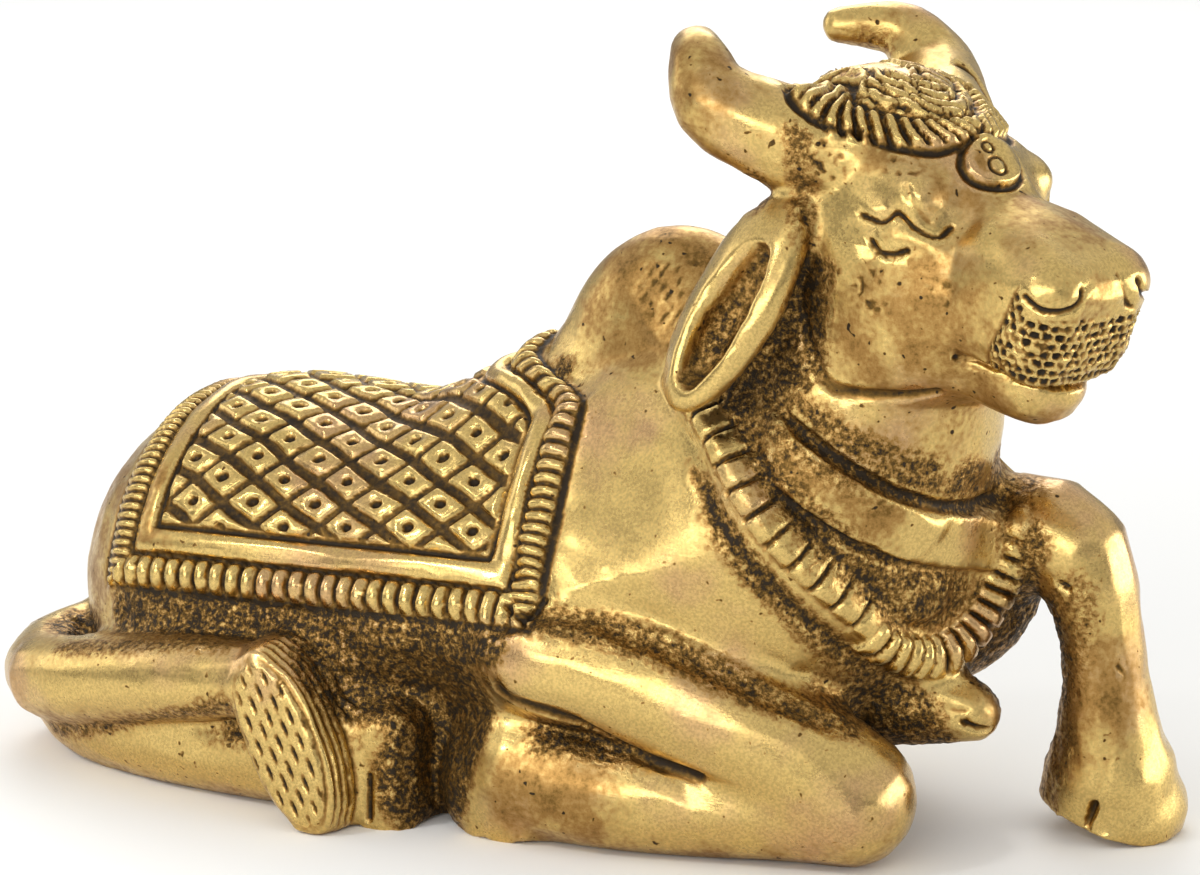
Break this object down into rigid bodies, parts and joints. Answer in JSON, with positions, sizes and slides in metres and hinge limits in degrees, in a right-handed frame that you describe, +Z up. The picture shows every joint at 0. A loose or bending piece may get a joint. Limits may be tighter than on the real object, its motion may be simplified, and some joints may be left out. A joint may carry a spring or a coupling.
{
  "type": "reclining bull figurine",
  "caption": "Cast brass figurine of a reclining humped bull with curled horns, a patterned saddle cloth, a collar strap and a beaded necklace, which lies on its own flat underside.",
  "frame": {"origin": "on the flat underside, under the middle of the body", "axes": "+X towards the head, +Y to the bull's left, +Z up"},
  "size_m": [0.1291, 0.0581, 0.0832],
  "materials": {
    "brass": "worn satin brass, dark in the hollows"
  },
  "bodies": {
    "root": {"bull_casting": "brass"}
  },
  "joints": []
}
